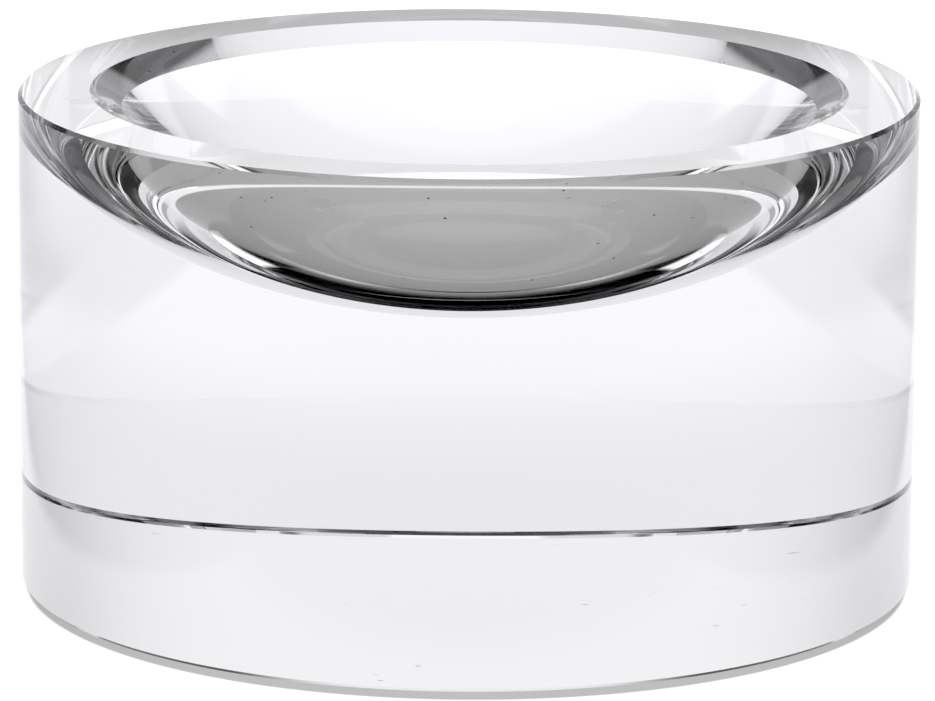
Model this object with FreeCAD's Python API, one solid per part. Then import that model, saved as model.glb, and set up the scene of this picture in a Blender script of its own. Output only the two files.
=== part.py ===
# Floating candle bowl: one thick drum of clear crystal glass with a shallow bowl ground into
# its top, standing on four clear bumper pads that keep the polished base off the table.
#
# Millimetres, +Z up. The origin is on the drum's axis, in the plane that the pads rest on.
import FreeCAD
import Part
import math
import os

# Driving sizes of the glass drum
drum_diameter = 180.0
drum_height = 99.5
rim_bevel = 0.75  # leg of the polished 45 degree bevel round the top outer edge
base_bevel_width = 0.9  # the polished bevel round the base is a little wider than it is high
base_bevel_height = 0.75

# Driving sizes of the bowl in its top
mouth_diameter = 151.4  # where the flat land ends and the lip starts
lip_width = 6.3  # the lip is a shallow cone, ground between the land and the bowl
lip_depth = 3.3
bowl_depth = 39.0  # from the land down to the lowest point
bowl_height_share = 0.93  # the bowl is a sphere squashed to this share of its height

# Driving sizes of the clear pads under the base
pad_diameter = 12.0
pad_thickness = 1.5
pad_foot_bevel = 0.5  # leg of the moulded bevel round the foot
pad_draft = 0.4  # how much smaller in radius the foot is than the stuck face
pad_inset = 8.85  # from the base bevel to the pad's edge
pad_names = ("rear_right", "rear_left", "front_left", "front_right")

# Sizes that follow from them
drum_radius = drum_diameter / 2
base_z = pad_thickness
top_z = base_z + drum_height
mouth_radius = mouth_diameter / 2
ring_radius = mouth_radius - lip_width
ring_z = top_z - lip_depth
bowl_low_z = top_z - bowl_depth
bowl_rise = bowl_depth - lip_depth
squashed_radius = ring_radius * bowl_height_share
bowl_half_height = (squashed_radius**2 + bowl_rise**2) / (2 * bowl_rise)
bowl_half_width = bowl_half_height / bowl_height_share
bowl_centre_z = bowl_low_z + bowl_half_height
pad_radius = pad_diameter / 2
pad_circle_radius = drum_radius - base_bevel_width - pad_inset - pad_radius

full_turn = 360


def point(radius, height):
    """A point of a half section, which lies in the XZ plane."""
    return FreeCAD.Vector(radius, 0, height)


def path(points):
    """Straight edges from point to point."""
    return [Part.LineSegment(a, b).toShape() for a, b in zip(points, points[1:])]


def turned(edges):
    """The closed half section of edges, turned once round the Z axis into a solid."""
    section = Part.Face(Part.Wire(edges))
    return section.revolve(FreeCAD.Vector(), FreeCAD.Vector(0, 0, 1), full_turn)


def bowl_section(high):
    """The bowl's curve, from its lowest point, on the axis, up to the point high.

    It is an arc of an ellipse, written as a spline so that the turned surface closes
    cleanly on the axis.
    """
    centre = point(0, bowl_centre_z)
    side = point(bowl_half_width, bowl_centre_z)
    low = point(0, bowl_low_z)
    ellipse = Part.Ellipse(side, low, centre)
    ends = sorted((ellipse.parameter(low), ellipse.parameter(high)))
    return Part.ArcOfEllipse(ellipse, *ends).toBSpline().toShape()


def glass_drum():
    """The drum: bowl, lip, flat land, plain wall and base, with two polished bevels."""
    bowl_high = point(ring_radius, ring_z)
    outside = path(
        [
            bowl_high,
            point(mouth_radius, top_z),
            point(drum_radius - rim_bevel, top_z),
            point(drum_radius, top_z - rim_bevel),
            point(drum_radius, base_z + base_bevel_height),
            point(drum_radius - base_bevel_width, base_z),
            point(0, base_z),
            point(0, bowl_low_z),
        ]
    )
    return turned([bowl_section(bowl_high)] + outside)


def bumper_pad():
    """One clear pad on the axis: a drafted disc whose foot edge is bevelled."""
    foot_radius = pad_radius - pad_draft
    return turned(
        path(
            [
                point(0, 0),
                point(foot_radius - pad_foot_bevel, 0),
                point(foot_radius, pad_foot_bevel),
                point(pad_radius, base_z),
                point(0, base_z),
                point(0, 0),
            ]
        )
    )


def pads():
    """The pads by name, evenly round the base, with the first one half a step from +X."""
    step = 2 * math.pi / len(pad_names)
    placed = {}
    for index, name in enumerate(pad_names):
        angle = (index + 0.5) * step
        pad = bumper_pad()
        pad.translate(
            FreeCAD.Vector(math.cos(angle), math.sin(angle), 0) * pad_circle_radius
        )
        placed[f"bumper_pad_{name}"] = pad
    return placed


def main():
    os.makedirs("parts", exist_ok=True)
    nodes = {"glass_drum": glass_drum()}
    nodes.update(pads())
    for name, shape in nodes.items():
        shape.exportStep(f"parts/{name}.step")
        box = shape.BoundBox
        print(
            f"{name}: {shape.Volume / 1000:.2f} cm3, "
            f"{box.XLength:.2f} x {box.YLength:.2f} x {box.ZLength:.2f} mm, "
            f"closed {shape.isClosed()}, valid {shape.isValid()}"
        )


main()
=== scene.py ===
"""Floating candle bowl: a thick drum of clear crystal glass with a shallow bowl ground into
its top, on four clear bumper pads, in a pale studio."""
import math
from itertools import takewhile

import bmesh
import bpy
from bpy.props import FloatProperty, FloatVectorProperty, PointerProperty
from mathutils import Matrix, Vector


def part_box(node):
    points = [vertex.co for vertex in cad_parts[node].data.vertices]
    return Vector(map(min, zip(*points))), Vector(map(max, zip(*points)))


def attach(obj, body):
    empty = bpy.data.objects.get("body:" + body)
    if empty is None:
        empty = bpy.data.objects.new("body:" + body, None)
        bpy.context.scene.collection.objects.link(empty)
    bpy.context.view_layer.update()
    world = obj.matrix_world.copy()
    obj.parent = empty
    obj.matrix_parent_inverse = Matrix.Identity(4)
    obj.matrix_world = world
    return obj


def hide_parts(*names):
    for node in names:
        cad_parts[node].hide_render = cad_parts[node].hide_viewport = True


bl_info = {
    "name": "Floating candle bowl",
    "version": (1, 0, 0),
    "blender": (4, 5, 0),
    "location": "3D View > Sidebar > Candle bowl",
    "description": "Models and lights a solid crystal glass bowl for floating candles",
    "category": "Add Mesh",
}

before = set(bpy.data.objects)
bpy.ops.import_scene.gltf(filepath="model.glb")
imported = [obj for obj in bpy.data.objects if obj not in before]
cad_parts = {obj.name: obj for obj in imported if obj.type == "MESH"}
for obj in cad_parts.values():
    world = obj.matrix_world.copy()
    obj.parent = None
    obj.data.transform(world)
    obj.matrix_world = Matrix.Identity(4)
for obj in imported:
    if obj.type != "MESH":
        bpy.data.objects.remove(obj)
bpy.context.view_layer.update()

BODY = "root"
DRUM = "glass_drum"
PADS = [name for name in sorted(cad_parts) if name.startswith("bumper_pad")]

# How finely the turned and rounded faces are cut
TURN_STEPS = 360
BOWL_CIRCLE_STEPS = 720
PAD_STEPS = 64
PAD_ROUND_STEPS = 4
FLOOR_STEPS = 128

# Lengths in metres
PAD_ROUND = 0.0005
PAD_FILM = 0.00004  # the glue line between a pad and the glass
FLOOR_GAP = 0.0001  # keeps the floor out of the feet's plane
FLOOR_RADIUS = 6
TINT_DEPTH = 0.1  # the way through the glass that gives the tint its full strength
SAME_PLACE = 1e-6
WELD = 5e-6  # joins what the turning doubles at its seam and on the axis

SAME_SLOPE = 1e-3
DRUM_SMOOTH_UNDER = math.radians(6)
PAD_SMOOTH_UNDER = math.radians(35)

PAD_IOR = 1.3  # less than the real 1.5, so that the pads stay as faint as wetted ones

# The dust under the base
SPECK_CELLS = 130.0  # per metre, each with room for one speck
SPECK_SIZES = (0.03, 0.07)  # the least, and how much more the largest is, in cells
SPECK_COLOUR = (0.12, 0.12, 0.12, 1.0)
DUST_STEP = (0.00002, 0.00004)  # metres over the base in which it ends

# Where the floor's tone changes, in metres from the bowl's axis: the ends of a soft step. They
# bound the painted shadow under the bowl and the painted shade and light around it.
# The painted shadow under the bowl: its edge, and over what depth it darkens towards the back
SHADOW_EDGE = (0.0886, 0.0896)
SHADOW_FALL = (-0.09, 0.03)
# The painted shade: darker floor in front of the bowl and beside it, out of the picture,
# standing in for the shade there
PAINTED_SHADE_FRONT = (0.103, 0.15)
PAINTED_SHADE_SIDE = (0.127, 0.147)
PAINTED_SHADE_SLANT = 0.096  # how much further out its side lies, for each metre back
PAINTED_SHADE_BACK = (0.0, 0.3)
PAINTED_SHADE_DARKER = (0.2, 0.4)
# The lane behind the bowl carries painted shade close to the bowl and painted light further
# back
LANE_SIDE = (0.09, 0.1)  # the lane of floor behind the bowl
LANE_START = (0.082, 0.09)
LANE_FAR = (0.13, 0.3)

# How much light the floor sends back, where it doesn't glow
FLOOR_TONE = 0.15
# Painted shade: how much darker the floor's colour is under the bowl and in the lane behind it
NEAR_SHADE_LOSS = 0.1  # what it loses close to the bowl

# Directions of the studio seen from the bowl, in degrees: the middle of a soft step and half
# its width. Turns are measured from straight behind the bowl.
LIT_TURN = (107, 3)
SWEEP_TOP = (21, 1.5)
SWEEP_MIDDLE = (30, 25)
SWEEP_LOW = (12.3, 1)
PANEL_TURN = (7, 1)
PANEL_LOW = (10.62, 0.2)
PANEL_TOP = (13.2, 0.4)
BOX_TURN = (51, 2)
BOX_LOW = (19, 1)
BOX_TOP = (36, 3)
STRIP_LOW = (52, 3)
ROOM_LOW = (18, 3)
ROOM_BAND_LOW = (12.4, 0.5)
ROOM_BAND_TOP = (15.2, 0.5)
ROOM_HIGH = (48, 10)

# The overhead strip's two edges, as steps of a direction's part towards the back
STRIP_FRONT = (-0.55, -0.3)
STRIP_BACK = (0.08, 0.2)


def rings(node):
    """The CAD node's vertices as (radius, height) pairs, lowest first."""
    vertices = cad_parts[node].data.vertices
    places = {(round(v.co.xy.length, 6), round(v.co.z, 6)) for v in vertices}
    return sorted(places, key=lambda place: place[1])


def local_rings(node):
    """The CAD node's vertices off its own upright axis, as (radius, height) pairs."""
    low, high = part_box(node)
    centre = (low + high).xy / 2
    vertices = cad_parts[node].data.vertices
    places = [((v.co.xy - centre).length, v.co.z) for v in vertices]
    return [(r, z) for r, z in places if r > SAME_PLACE]


def slope(one, other):
    """Rise over run between two points of a section."""
    return (one[1] - other[1]) / (one[0] - other[0])


def drum_section():
    """The drum's driving sizes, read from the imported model."""
    low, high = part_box(DRUM)
    radius = (high.x - low.x) / 2
    places = rings(DRUM)
    at_top = [r for r, z in places if abs(z - high.z) < SAME_PLACE]
    at_base = [r for r, z in places if abs(z - low.z) < SAME_PLACE]
    land_inside = min(at_top)
    between = [(r, z) for r, z in places if low.z + SAME_PLACE < z < high.z - SAME_PLACE]
    bowl = [(r, z) for r, z in between if r < land_inside]
    wall_low = min(z for r, z in places if r > radius - SAME_PLACE)
    edge = (land_inside, high.z)
    lip = [edge] + sorted(bowl, key=lambda place: -place[1])
    fall = slope(edge, lip[1])
    on_lip = takewhile(lambda place: abs(slope(edge, place) - fall) < SAME_SLOPE, lip[1:])
    mouth = list(on_lip)[-1]
    middle = min(bowl, key=lambda place: abs(place[0] - mouth[0] / 2))
    return {
        "radius": radius,
        "base": low.z,
        "top": high.z,
        "land_inside": land_inside,
        "rim_bevel": radius - max(at_top),
        "base_bevel_width": radius - max(at_base),
        "base_bevel_height": wall_low - low.z,
        "mouth": mouth,
        "middle": middle,
        "bowl_low": min(z for r, z in bowl),
    }


SECTION = drum_section()


def bowl_ellipse():
    """Half width and half height of the squashed sphere through two rings of the bowl.

    On it, radius squared over rise above the lowest point falls evenly with the rise.
    """
    places = [SECTION["middle"], SECTION["mouth"]]
    rises = [z - SECTION["bowl_low"] for r, z in places]
    spreads = [r**2 / rise for (r, z), rise in zip(places, rises)]
    fall = (spreads[0] - spreads[1]) / (rises[1] - rises[0])
    half_height = (spreads[0] + fall * rises[0]) / (2 * fall)
    return half_height * math.sqrt(fall), half_height


BOWL_HALF_WIDTH, BOWL_HALF_HEIGHT = bowl_ellipse()


class CandleBowlGlass(bpy.types.PropertyGroup):
    """The crystal glass of the drum."""

    ior: FloatProperty(
        name="Refractive index",
        description="How strongly the crystal glass bends light",
        default=1.50,
        min=1.4,
        max=1.8,
    )
    tint: FloatVectorProperty(
        name="Tint",
        description="Colour that white light takes in 100 mm of the glass",
        subtype="COLOR",
        size=3,
        default=(0.9, 0.9, 0.9),
        min=0,
        max=1,
    )
    dust: FloatProperty(
        name="Dust",
        description="How much of the base has a speck of dust under it",
        default=0.12,
        min=0,
        max=1,
    )


class CandleBowlStudio(bpy.types.PropertyGroup):
    """Camera, floor and light."""

    camera_distance: FloatProperty(
        name="Camera distance",
        description="From the bowl's axis to the camera, along the floor",
        default=1.30914,
        unit="LENGTH",
    )
    camera_height: FloatProperty(
        name="Camera height",
        description="Of the camera over the floor",
        default=0.353947,
        unit="LENGTH",
    )
    camera_pitch: FloatProperty(
        name="Camera pitch",
        description="How far the camera looks down",
        default=0.23011,
        subtype="ANGLE",
    )
    camera_roll: FloatProperty(
        name="Camera roll",
        description="How far the camera leans to its left",
        default=0.0065,
        subtype="ANGLE",
    )
    camera_lens: FloatProperty(
        name="Focal length",
        description="Of the camera, in millimetres, on a 36 mm sensor",
        default=256.79,
    )
    floor_glow: FloatProperty(
        name="Floor light",
        description="How bright the floor glows from below",
        default=1.05,
    )
    # Brightness of the painted shade: a darker tone painted into the floor in front of the
    # bowl and beside it
    shade: FloatProperty(
        name="Painted shade",
        description="How much light the card in front of the bowl and beside it sends back",
        default=0.62,
    )
    sweep_light: FloatProperty(
        name="Sweep",
        description="Brightness of the white sweep behind the bowl",
        default=1.07,
    )
    box_light: FloatProperty(
        name="Side boxes",
        description="Brightness of the two soft boxes at the sides",
        default=1.8,
    )
    black: FloatProperty(
        name="Black",
        description="Brightness that the picture shows as black",
        default=0.022,
        precision=4,
    )
    top_light: FloatProperty(
        name="Top light",
        description="Brightness of the soft strip overhead",
        default=1.2,
    )


class Wire:
    """A shader socket that takes part in Python sums, each of which adds a Math node."""

    def __init__(self, tree, socket):
        self.tree = tree
        self.socket = socket

    def math(self, operation, *values):
        return add(self.tree, "ShaderNodeMath", {"operation": operation}, values)

    def __add__(self, other):
        return self.math("ADD", self, other)

    def __radd__(self, other):
        return self.math("ADD", other, self)

    def __sub__(self, other):
        return self.math("SUBTRACT", self, other)

    def __rsub__(self, other):
        return self.math("SUBTRACT", other, self)

    def __mul__(self, other):
        return self.math("MULTIPLY", self, other)

    def __rmul__(self, other):
        return self.math("MULTIPLY", other, self)

    def __truediv__(self, other):
        return self.math("DIVIDE", self, other)

    def __abs__(self):
        return self.math("ABSOLUTE", self)

    def __pow__(self, other):
        return self.math("POWER", self, other)

    def most(self, other):
        return self.math("MAXIMUM", self, other)

    def ramp(self, low, high):
        """0 below low, 1 above high, and a soft step between them."""
        settings = {"interpolation_type": "SMOOTHSTEP"}
        values = {"Value": self, "From Min": low, "From Max": high}
        return add(self.tree, "ShaderNodeMapRange", settings, values, "Result")


def connect(tree, target, value):
    """Sets a socket to a value or links it."""
    if isinstance(value, Wire):
        tree.links.new(value.socket, target)
    else:
        target.default_value = value


def add(tree, kind, settings=None, values=(), output=0):
    """Adds a node: its settings first, then its sockets, by name or in order."""
    node = tree.nodes.new(kind)
    for name, value in (settings or {}).items():
        setattr(node, name, value)
    pairs = values.items() if isinstance(values, dict) else enumerate(values)
    for name, value in pairs:
        connect(tree, node.inputs[name], value)
    return Wire(tree, node.outputs[output]) if node.outputs else None


def new_material(name):
    """A new material and its node tree, which is empty."""
    material = bpy.data.materials.new(name)
    material.use_nodes = True
    tree = material.node_tree
    tree.nodes.clear()
    return material, tree


def finish_material(tree, shader, **others):
    """Links the shader, and others by their socket's name, to the material's output."""
    add(tree, "ShaderNodeOutputMaterial", {}, {"Surface": shader, **others})


def object_place(tree):
    """The point in the object's own coordinates, which are the frame's, in metres."""
    return add(tree, "ShaderNodeTexCoord", output="Object")


def split(tree, vector):
    """The three parts of a vector."""
    node = tree.nodes.new("ShaderNodeSeparateXYZ")
    connect(tree, node.inputs[0], vector)
    return [Wire(tree, node.outputs[axis]) for axis in "XYZ"]


def gray(tree, level):
    """A colour whose three parts are the same."""
    return add(tree, "ShaderNodeCombineColor", {}, (level, level, level))


def mixed(tree, amount, first, second):
    """The first colour where the amount is 0, the second where it is 1."""
    factor, a, b, result = 0, 6, 7, 2
    values = {factor: amount, a: first, b: second}
    return add(tree, "ShaderNodeMix", {"data_type": "RGBA"}, values, result)


def specks(tree, place, share):
    """Up to 1 in small round specks of several sizes, which only a share of the cells has."""
    cells = tree.nodes.new("ShaderNodeTexVoronoi")
    connect(tree, cells.inputs["Vector"], place)
    cells.voronoi_dimensions = "2D"
    cells.inputs["Scale"].default_value = SPECK_CELLS
    chance, size, tone = split(tree, Wire(tree, cells.outputs["Color"]))
    least, more = SPECK_SIZES
    reach = least + more * size
    near = 1 - Wire(tree, cells.outputs["Distance"]).ramp(reach * 0.5, reach)
    near = near * (0.5 + 0.5 * tone)
    return near * chance.ramp(1 - share, 1 - share + 0.02)


def crystal_glass(look):
    """Polished clear glass with faint waves, and dust under its base."""
    material, tree = new_material("crystal_glass")
    place = object_place(tree)
    values = {"Vector": place, "Scale": 25.0, "Detail": 1.0}
    waves = add(tree, "ShaderNodeTexNoise", {}, values)
    bump = add(
        tree,
        "ShaderNodeBump",
        {},
        {"Height": waves, "Strength": 0.02, "Distance": 0.0002},
    )
    height = split(tree, place)[2]
    low, high = (SECTION["base"] + step for step in DUST_STEP)
    on_base = 1 - height.ramp(low, high)
    dust = on_base * specks(tree, place, look.dust)
    colour = mixed(tree, dust, (1.0, 1.0, 1.0, 1.0), SPECK_COLOUR)
    shader = add(
        tree,
        "ShaderNodeBsdfPrincipled",
        {},
        {
            "Base Color": colour,
            "Metallic": dust,
            "Roughness": 0.0,
            "Transmission Weight": 1.0,
            "IOR": look.ior,
            "Normal": bump,
        },
    )
    tint = {"Color": (*look.tint, 1.0), "Density": 1 / TINT_DEPTH}
    depth = add(tree, "ShaderNodeVolumeAbsorption", {}, tint)
    finish_material(tree, shader, Volume=depth)
    return material


def clear_pad():
    """Soft clear polyurethane."""
    material, tree = new_material("clear_pad")
    place = object_place(tree)
    grain = add(tree, "ShaderNodeTexNoise", {}, {"Vector": place, "Scale": 1500.0})
    shader = add(
        tree,
        "ShaderNodeBsdfPrincipled",
        {},
        {
            "Base Color": (0.99, 0.99, 0.99, 1.0),
            "Roughness": grain * 0.08,
            "Transmission Weight": 1.0,
            "IOR": PAD_IOR,
        },
    )
    finish_material(tree, shader)
    return material


def pale_floor(studio):
    """White floor that glows from below, with painted shade: a painted shadow under the bowl,
    painted shade and light in the lane behind it, and painted shade without glow in front of
    the bowl and beside it.

    The painted shade in front and beside lies out of the picture, where the glass mirrors it.
    """
    material, tree = new_material("pale_floor")
    x, y, _ = split(tree, object_place(tree))
    away = (x * x + y * y) ** 0.5
    beside = abs(x)
    ahead = 0 - y
    # Painted shade: the floor in front of the bowl and beside it gets no glow and a tone of
    # its own
    hidden = (beside - PAINTED_SHADE_SLANT * y).ramp(*PAINTED_SHADE_SIDE).most(ahead.ramp(*PAINTED_SHADE_FRONT))
    painted_shade = hidden * (1 - y.ramp(*PAINTED_SHADE_BACK))
    # Painted shade and light: the lane of floor behind the bowl
    behind = (1 - beside.ramp(*LANE_SIDE)) * y.ramp(*LANE_START)
    # Painted shadow: the floor under the bowl glows less
    under = 1 - away.ramp(*SHADOW_EDGE)
    # Tone of the painted shade, darker further out to the sides
    painted_shade_tone = studio.shade * (0.95 - 0.65 * beside.ramp(*PAINTED_SHADE_DARKER))
    # Painted shade: darker floor colour under the bowl and in the lane behind it
    painted_near_shade = under.most(behind) * NEAR_SHADE_LOSS
    colour = gray(tree, FLOOR_TONE - painted_shade * (FLOOR_TONE - painted_shade_tone) - painted_near_shade)
    # How much the floor glows in the painted shadow under the bowl, less towards the back
    painted_shadow_glow = 0.5 - 0.13 * y.ramp(*SHADOW_FALL)
    # Painted shade close behind the bowl, turning to painted light further back
    painted_lane_shading = behind * (0.03 - 0.17 * y.ramp(*LANE_FAR))
    # The floor's glow, carrying the painted shadow, the painted shade and the painted lane
    # light
    glow = (1 - (1 - painted_shadow_glow) * under) * (1 - painted_shade) - painted_lane_shading
    # Painted shadow colour: the glow is a little bluer outside the shadow under the bowl
    blue = 1 + 0.03 * (1 - under)
    glow = add(tree, "ShaderNodeCombineColor", {}, (glow, glow * 0.995, glow * blue))
    shader = add(
        tree,
        "ShaderNodeBsdfPrincipled",
        {},
        {
            "Base Color": colour,
            "Roughness": 1.0,
            "Specular IOR Level": 0.0,
            "Emission Color": glow,
            "Emission Strength": studio.floor_glow,
        },
    )
    finish_material(tree, shader)
    return material


def deselect():
    """Leaves nothing selected, so that the next operator acts on its own piece."""
    bpy.ops.object.select_all(action="DESELECT")


def place_applied():
    """Moves the selected piece's place, turn and scale into its mesh."""
    bpy.ops.object.transform_apply(location=True, rotation=True, scale=True)


def pick(piece, wanted):
    """In edit mode, selects the vertices whose place is wanted."""
    mesh = bmesh.from_edit_mesh(piece.data)
    bpy.ops.mesh.select_all(action="DESELECT")
    for vertex in mesh.verts:
        vertex.select_set(wanted(vertex.co))
    mesh.select_flush_mode()
    bmesh.update_edit_mesh(piece.data)


def draw_on(section_from, points):
    """Extrudes the selected vertex of a section from point to point."""
    for before, after in zip([section_from] + points, points):
        step = Vector((after[0] - before[0], 0, after[1] - before[1]))
        bpy.ops.mesh.extrude_vertices_move(TRANSFORM_OT_translate={"value": step})


class CANDLEBOWL_OT_drum(bpy.types.Operator):
    """Turn the glass drum from its half section, with the bowl as part of a squashed circle"""

    bl_idname = "candlebowl.drum"
    bl_label = "Glass drum"

    def execute(self, context):
        deselect()
        centre = SECTION["bowl_low"] + BOWL_HALF_HEIGHT
        bpy.ops.mesh.primitive_circle_add(
            vertices=BOWL_CIRCLE_STEPS,
            radius=BOWL_HALF_WIDTH,
            location=(0, 0, centre),
            rotation=(math.pi / 2, 0, 0),
        )
        place_applied()
        drum = context.object
        drum.name = "crystal_drum"
        bpy.ops.object.mode_set(mode="EDIT")
        bpy.ops.mesh.select_all(action="SELECT")
        share = BOWL_HALF_HEIGHT / BOWL_HALF_WIDTH
        bpy.ops.transform.resize(value=(1, 1, share), center_override=(0, 0, centre))
        mouth = SECTION["mouth"]
        bpy.ops.mesh.bisect(plane_co=(0, 0, mouth[1]), plane_no=(0, 0, 1), clear_outer=True)
        bpy.ops.mesh.select_all(action="SELECT")
        bpy.ops.mesh.bisect(plane_co=(0, 0, 0), plane_no=(1, 0, 0), clear_inner=True)
        pick(drum, lambda co: co.z > mouth[1] - SAME_PLACE)
        radius = SECTION["radius"]
        draw_on(
            mouth,
            [
                (SECTION["land_inside"], SECTION["top"]),
                (radius - SECTION["rim_bevel"], SECTION["top"]),
                (radius, SECTION["top"] - SECTION["rim_bevel"]),
                (radius, SECTION["base"] + SECTION["base_bevel_height"]),
                (radius - SECTION["base_bevel_width"], SECTION["base"]),
                (0, SECTION["base"]),
            ],
        )
        bpy.ops.mesh.select_all(action="SELECT")
        bpy.ops.mesh.spin(steps=TURN_STEPS, angle=math.tau, center=(0, 0, 0), axis=(0, 0, 1))
        bpy.ops.mesh.select_all(action="SELECT")
        bpy.ops.mesh.remove_doubles(threshold=WELD)
        bpy.ops.mesh.normals_make_consistent(inside=False)
        bpy.ops.object.mode_set(mode="OBJECT")
        bpy.ops.object.shade_smooth_by_angle(angle=DRUM_SMOOTH_UNDER)
        drum.data.materials.append(crystal_glass(context.scene.candle_bowl_glass))
        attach(drum, BODY)
        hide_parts(DRUM)
        return {"FINISHED"}


class CANDLEBOWL_OT_pads(bpy.types.Operator):
    """Mould one drafted bumper pad with a rounded foot and stick four under the base"""

    bl_idname = "candlebowl.pads"
    bl_label = "Bumper pads"

    def execute(self, context):
        deselect()
        low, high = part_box(PADS[0])
        radius = (high.x - low.x) / 2
        foot = min(r for r, z in local_rings(PADS[0]) if z > low.z + SAME_PLACE)
        top = high.z - PAD_FILM
        bpy.ops.mesh.primitive_cylinder_add(
            vertices=PAD_STEPS,
            radius=radius,
            depth=top,
            location=(0, 0, top / 2),
        )
        place_applied()
        first = context.object
        bpy.ops.object.mode_set(mode="EDIT")
        pick(first, lambda co: co.z < SAME_PLACE)
        share = foot / radius
        bpy.ops.transform.resize(value=(share, share, 1), center_override=(0, 0, 0))
        bpy.ops.mesh.bevel(offset=PAD_ROUND, segments=PAD_ROUND_STEPS, affect="EDGES")
        bpy.ops.mesh.select_all(action="SELECT")
        bpy.ops.mesh.normals_make_consistent(inside=False)
        bpy.ops.object.mode_set(mode="OBJECT")
        bpy.ops.object.shade_smooth_by_angle(angle=PAD_SMOOTH_UNDER)
        first.data.materials.append(clear_pad())
        pads = [first]
        for _ in PADS[1:]:
            deselect()
            first.select_set(True)
            context.view_layer.objects.active = first
            bpy.ops.object.duplicate()
            pads.append(context.object)
        for pad, node in zip(pads, PADS):
            low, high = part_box(node)
            deselect()
            pad.select_set(True)
            context.view_layer.objects.active = pad
            pad.location = ((low.x + high.x) / 2, (low.y + high.y) / 2, 0)
            place_applied()
            pad.name = node.replace("bumper_pad", "clear_pad")
            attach(pad, BODY)
            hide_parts(node)
        return {"FINISHED"}


def studio_world(studio):
    """The studio as light from far away, by direction seen from the bowl.

    Behind are a white sweep and a brighter panel in its middle, with a soft box over it at
    each side. Overhead is a strip, and towards the camera the dark room with a pale band.
    """
    world = bpy.data.worlds.new("studio")
    world.use_nodes = True
    tree = world.node_tree
    tree.nodes.clear()
    x, y, z = split(tree, add(tree, "ShaderNodeTexCoord", output="Generated"))
    behind = y / (x * x + y * y) ** 0.5

    def above(middle, soft):
        """1 over a height, in degrees, and 0 under it."""
        low, high = (math.sin(math.radians(middle + side)) for side in (-soft, soft))
        return z.ramp(low, high)

    def within(middle, soft):
        """1 closer to straight behind than a turn, in degrees, and 0 further round."""
        low, high = (math.cos(math.radians(middle + side)) for side in (soft, -soft))
        return behind.ramp(low, high)

    # The bare factors are how bright each part is
    lit = within(*LIT_TURN)
    sweep = lit * (1 - above(*SWEEP_TOP)) * (0.93 + 0.3 * within(*SWEEP_MIDDLE))
    sweep = sweep * (0.85 + 0.2 * above(*SWEEP_LOW))
    panel = within(*PANEL_TURN) * above(*PANEL_LOW) * (1 - above(*PANEL_TOP))
    boxes = lit * above(*BOX_LOW) * (1 - above(*BOX_TOP)) * (1 - within(*BOX_TURN))
    strip = above(*STRIP_LOW) * y.ramp(*STRIP_FRONT) * (1 - y.ramp(*STRIP_BACK))
    band = above(*ROOM_BAND_LOW) * (1 - above(*ROOM_BAND_TOP))
    room = 0.1 * (1 - above(*ROOM_LOW)) + 0.5 * band + 0.45 * above(*ROOM_HIGH)
    light = sweep * studio.sweep_light + boxes * studio.box_light + strip * studio.top_light
    light = light + 1.15 * panel + (1 - lit) * room
    cool_white = (0.797, 0.792, 0.814, 1.0)
    values = {"Color": cool_white, "Strength": light}
    background = add(tree, "ShaderNodeBackground", {}, values)
    add(tree, "ShaderNodeOutputWorld", {}, {"Surface": background})
    return world


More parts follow.
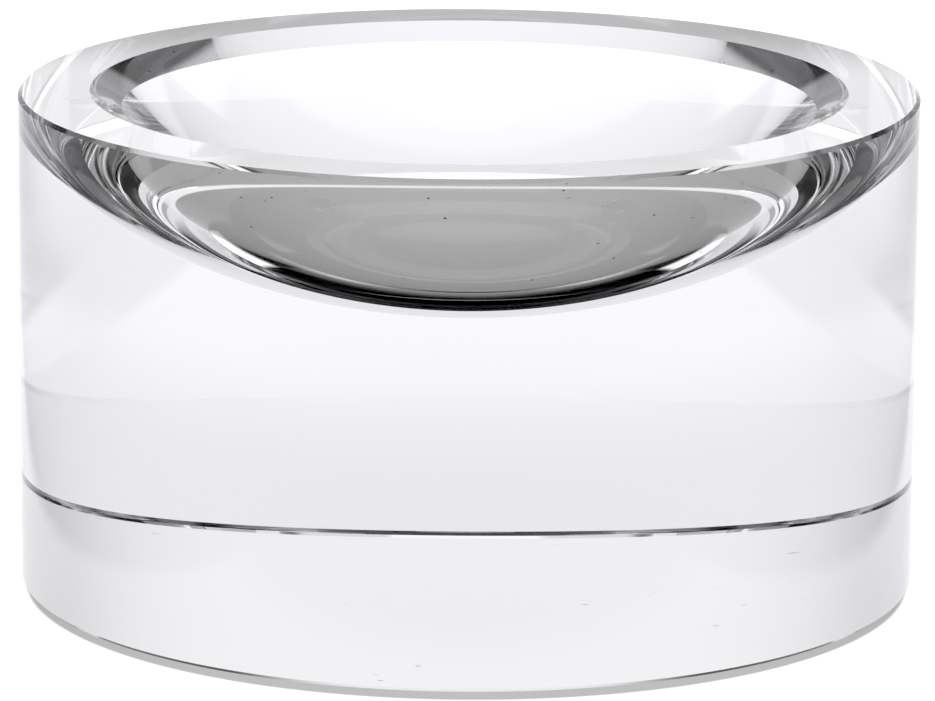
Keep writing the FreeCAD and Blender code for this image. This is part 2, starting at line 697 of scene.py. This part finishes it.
class CANDLEBOWL_OT_stage(bpy.types.Operator):
    """Set the floor, the studio light and the camera"""

    bl_idname = "candlebowl.stage"
    bl_label = "Studio"

    def execute(self, context):
        studio = context.scene.candle_bowl_studio
        deselect()
        bpy.ops.mesh.primitive_circle_add(
            vertices=FLOOR_STEPS,
            radius=FLOOR_RADIUS,
            fill_type="NGON",
            location=(0, 0, -FLOOR_GAP),
        )
        floor = context.object
        floor.name = "floor"
        floor.data.materials.append(pale_floor(studio))
        scene = context.scene
        scene.world = studio_world(studio)
        bpy.ops.object.camera_add()
        camera = context.object
        camera.name = "camera"
        turn = Matrix.Rotation(math.pi / 2 - studio.camera_pitch, 4, "X")
        roll = Matrix.Rotation(studio.camera_roll, 4, "Z")
        place = Matrix.Translation((0, -studio.camera_distance, studio.camera_height))
        camera.matrix_world = place @ turn @ roll
        camera.data.lens = studio.camera_lens
        camera.data.sensor_width = 36.0
        camera.data.clip_end = 50.0
        scene.camera = camera
        view = scene.view_settings
        view.view_transform = "Standard"
        view.look = "None"
        view.use_curve_mapping = True
        view.curve_mapping.black_level = [studio.black] * 3
        scene.cycles.max_bounces = 32
        scene.cycles.transmission_bounces = 24
        scene.cycles.glossy_bounces = 24
        scene.cycles.diffuse_bounces = 4
        return {"FINISHED"}


class CANDLEBOWL_PT_panel(bpy.types.Panel):
    """Lists what makes the candle bowl"""

    bl_idname = "CANDLEBOWL_PT_panel"
    bl_label = "Candle bowl"
    bl_space_type = "VIEW_3D"
    bl_region_type = "UI"
    bl_category = "Candle bowl"

    def draw(self, context):
        for operator in OPERATORS:
            self.layout.operator(operator.bl_idname)
        for group in (context.scene.candle_bowl_glass, context.scene.candle_bowl_studio):
            for name in group.__annotations__:
                self.layout.prop(group, name)


GROUPS = (CandleBowlGlass, CandleBowlStudio)
OPERATORS = (CANDLEBOWL_OT_drum, CANDLEBOWL_OT_pads, CANDLEBOWL_OT_stage)
CLASSES = GROUPS + OPERATORS + (CANDLEBOWL_PT_panel,)


def register():
    for new_class in CLASSES:
        bpy.utils.register_class(new_class)
    bpy.types.Scene.candle_bowl_glass = PointerProperty(type=CandleBowlGlass)
    bpy.types.Scene.candle_bowl_studio = PointerProperty(type=CandleBowlStudio)


def unregister():
    del bpy.types.Scene.candle_bowl_studio
    del bpy.types.Scene.candle_bowl_glass
    for new_class in reversed(CLASSES):
        bpy.utils.unregister_class(new_class)


def main():
    register()
    bpy.ops.candlebowl.drum()
    bpy.ops.candlebowl.pads()
    bpy.ops.candlebowl.stage()


if __name__ == "__main__":
    main()
